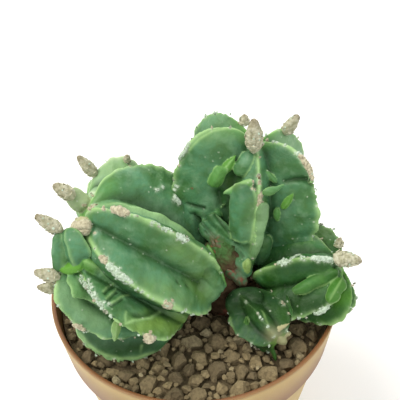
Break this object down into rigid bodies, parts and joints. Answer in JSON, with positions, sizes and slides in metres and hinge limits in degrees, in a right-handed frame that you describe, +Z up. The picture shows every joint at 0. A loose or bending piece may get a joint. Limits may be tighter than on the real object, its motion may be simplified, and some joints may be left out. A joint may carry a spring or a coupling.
{
  "type": "potted bishop's cap cactus",
  "caption": "Clump of sharp-ribbed bishop's cap cactus heads on a corky base, in gravel-topped soil in a round tapered nursery pot.",
  "frame": {"origin": "centre of the pot's flat underside", "axes": "+Z up out of the pot, -Y towards the side that the picture shows, +X to that viewer's right"},
  "size_m": [0.0952, 0.091, 0.1326],
  "materials": {
    "pot": "satin",
    "soil": "matt",
    "gravel": "matt",
    "cork": "matt",
    "skin": "satin"
  },
  "bodies": {
    "root": {"pot": "pot", "soil": "soil", "gravel": "gravel", "corky_base": "cork", "stem_top": "skin", "stem_left": "skin", "stem_rear": "skin", "stem_right": "skin", "stem_small": "skin"}
  },
  "joints": []
}
